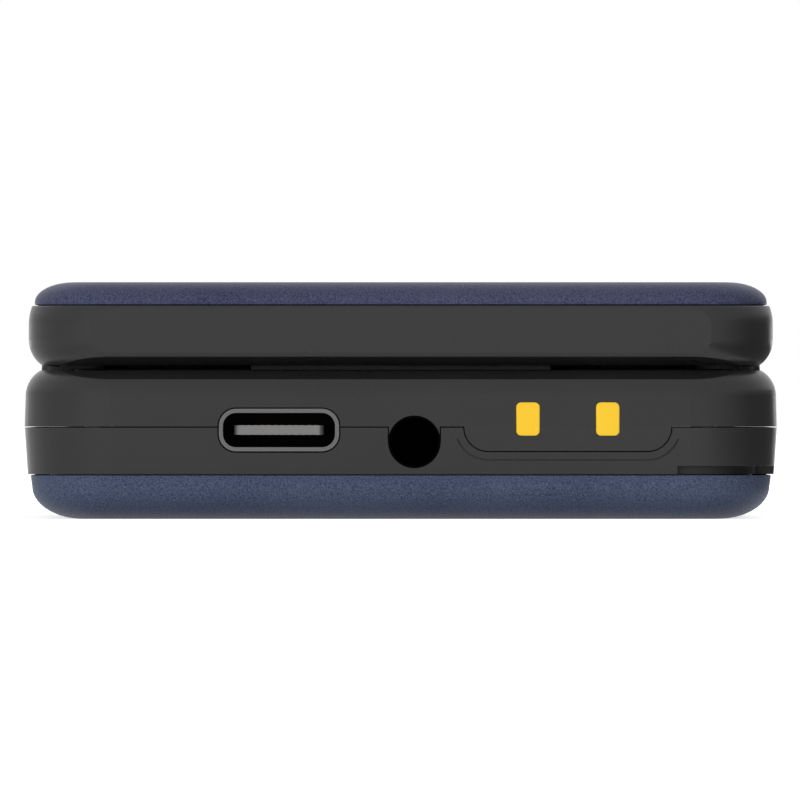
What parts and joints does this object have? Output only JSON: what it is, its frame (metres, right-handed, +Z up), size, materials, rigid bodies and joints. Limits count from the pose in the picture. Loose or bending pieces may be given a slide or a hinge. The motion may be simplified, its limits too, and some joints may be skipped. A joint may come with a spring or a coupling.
{
  "type": "flip phone",
  "caption": "Clamshell phone with a hinged lid, keypad, outer display, clip-off battery cover and a headphone socket, USB-C socket and charging contacts at one end.",
  "frame": {"origin": "under the middle of the closed phone, on the surface its battery cover lies on", "axes": "+Z up out of the lid, +Y along the phone from the socket end to the hinge, +X to the right seen from the socket end"},
  "size_m": [0.056, 0.108, 0.0176],
  "materials": {
    "blue_plastic": "fine metallic matt",
    "black_plastic": "fine satin texture",
    "key_plastic": "smooth satin with white legends",
    "clear_glass": "polished, dark printed surround",
    "display_panel": "dark panel, off",
    "rubber": "soft matt",
    "steel": "plain",
    "gold": "gold plated",
    "board": "solder mask",
    "component": "moulded",
    "flex": "polyimide film"
  },
  "bodies": {
    "base": {"base_front_housing": "black_plastic", "base_rear_housing": "black_plastic", "main_circuit_board": "board", "shield_can": "steel", "battery": "component", "battery_connector": "component", "usb_c_shell": "steel", "usb_c_tongue": "component", "audio_jack": "component", "charging_contacts": "gold", "keypad_membrane": "rubber", "key_domes": "steel", "loudspeaker": "component", "microphone": "steel", "vibration_motor": "steel", "sim_card_holder": "steel", "side_switches": "component", "housing_screws": "steel", "hinge_cam_shaft": "steel", "hinge_bush": "component"},
    "lid": {"lid_housing": "black_plastic", "lid_cover": "blue_plastic", "main_display": "display_panel", "display_window": "clear_glass", "outer_display": "display_panel", "outer_window": "clear_glass", "camera_module": "component", "camera_window": "clear_glass", "camera_ring": "steel", "flash_lens": "clear_glass", "earpiece": "component", "lid_circuit_board": "board", "lid_bumper_strip": "rubber", "screw_plugs": "rubber", "lid_screws": "steel", "hinge_sleeve": "steel", "hinge_spring": "steel", "hinge_follower": "steel", "display_flex": "flex", "lid_magnet": "steel"},
    "battery_cover": {"battery_cover": "blue_plastic"},
    "volume_rocker": {"volume_rocker": "black_plastic"},
    "key_0": {"key_0": "key_plastic"},
    "key_1": {"key_1": "key_plastic"},
    "key_2": {"key_2": "key_plastic"},
    "key_3": {"key_3": "key_plastic"},
    "key_4": {"key_4": "key_plastic"},
    "key_5": {"key_5": "key_plastic"},
    "key_6": {"key_6": "key_plastic"},
    "key_7": {"key_7": "key_plastic"},
    "key_8": {"key_8": "key_plastic"},
    "key_9": {"key_9": "key_plastic"},
    "key_star": {"key_star": "key_plastic"},
    "key_hash": {"key_hash": "key_plastic"},
    "call_key": {"call_key": "key_plastic"},
    "end_key": {"end_key": "key_plastic"},
    "left_soft_key": {"left_soft_key": "key_plastic"},
    "right_soft_key": {"right_soft_key": "key_plastic"},
    "navigation_ring": {"navigation_ring": "key_plastic"},
    "ok_key": {"ok_key": "key_plastic"}
  },
  "joints": [
    {"name": "lid_hinge", "type": "hinge", "parent": "base", "child": "lid", "pos_m": [0, 0.0499, 0.01124], "axis": [-1, 0, 0], "range_deg": [0, 155]},
    {"name": "battery_cover_off", "type": "slide", "parent": "base", "child": "battery_cover", "axis": [0, 0, -1], "range_m": [0, 0.02]},
    {"name": "volume_rock", "type": "hinge", "parent": "base", "child": "volume_rocker", "pos_m": [-0.0262, 0.02, 0.0087], "axis": [0, 0, 1], "range_deg": [-1.2, 1.2], "stiffness_Nm_per_rad": 0.17},
    {"name": "key_0_press", "type": "slide", "parent": "base", "child": "key_0", "axis": [0, 0, -1], "range_m": [0, 0.00025], "stiffness_N_per_m": 2000},
    {"name": "key_1_press", "type": "slide", "parent": "base", "child": "key_1", "axis": [0, 0, -1], "range_m": [0, 0.00025], "stiffness_N_per_m": 2000},
    {"name": "key_2_press", "type": "slide", "parent": "base", "child": "key_2", "axis": [0, 0, -1], "range_m": [0, 0.00025], "stiffness_N_per_m": 2000},
    {"name": "key_3_press", "type": "slide", "parent": "base", "child": "key_3", "axis": [0, 0, -1], "range_m": [0, 0.00025], "stiffness_N_per_m": 2000},
    {"name": "key_4_press", "type": "slide", "parent": "base", "child": "key_4", "axis": [0, 0, -1], "range_m": [0, 0.00025], "stiffness_N_per_m": 2000},
    {"name": "key_5_press", "type": "slide", "parent": "base", "child": "key_5", "axis": [0, 0, -1], "range_m": [0, 0.00025], "stiffness_N_per_m": 2000},
    {"name": "key_6_press", "type": "slide", "parent": "base", "child": "key_6", "axis": [0, 0, -1], "range_m": [0, 0.00025], "stiffness_N_per_m": 2000},
    {"name": "key_7_press", "type": "slide", "parent": "base", "child": "key_7", "axis": [0, 0, -1], "range_m": [0, 0.00025], "stiffness_N_per_m": 2000},
    {"name": "key_8_press", "type": "slide", "parent": "base", "child": "key_8", "axis": [0, 0, -1], "range_m": [0, 0.00025], "stiffness_N_per_m": 2000},
    {"name": "key_9_press", "type": "slide", "parent": "base", "child": "key_9", "axis": [0, 0, -1], "range_m": [0, 0.00025], "stiffness_N_per_m": 2000},
    {"name": "key_star_press", "type": "slide", "parent": "base", "child": "key_star", "axis": [0, 0, -1], "range_m": [0, 0.00025], "stiffness_N_per_m": 2000},
    {"name": "key_hash_press", "type": "slide", "parent": "base", "child": "key_hash", "axis": [0, 0, -1], "range_m": [0, 0.00025], "stiffness_N_per_m": 2000},
    {"name": "call_key_press", "type": "slide", "parent": "base", "child": "call_key", "axis": [0, 0, -1], "range_m": [0, 0.00025], "stiffness_N_per_m": 2000},
    {"name": "end_key_press", "type": "slide", "parent": "base", "child": "end_key", "axis": [0, 0, -1], "range_m": [0, 0.00025], "stiffness_N_per_m": 2000},
    {"name": "left_soft_key_press", "type": "slide", "parent": "base", "child": "left_soft_key", "axis": [0, 0, -1], "range_m": [0, 0.00025], "stiffness_N_per_m": 2000},
    {"name": "right_soft_key_press", "type": "slide", "parent": "base", "child": "right_soft_key", "axis": [0, 0, -1], "range_m": [0, 0.00025], "stiffness_N_per_m": 2000},
    {"name": "navigation_ring_press", "type": "slide", "parent": "base", "child": "navigation_ring", "axis": [0, 0, -1], "range_m": [0, 0.00025], "stiffness_N_per_m": 2000},
    {"name": "ok_key_press", "type": "slide", "parent": "base", "child": "ok_key", "axis": [0, 0, -1], "range_m": [0, 0.00025], "stiffness_N_per_m": 2000}
  ]
}
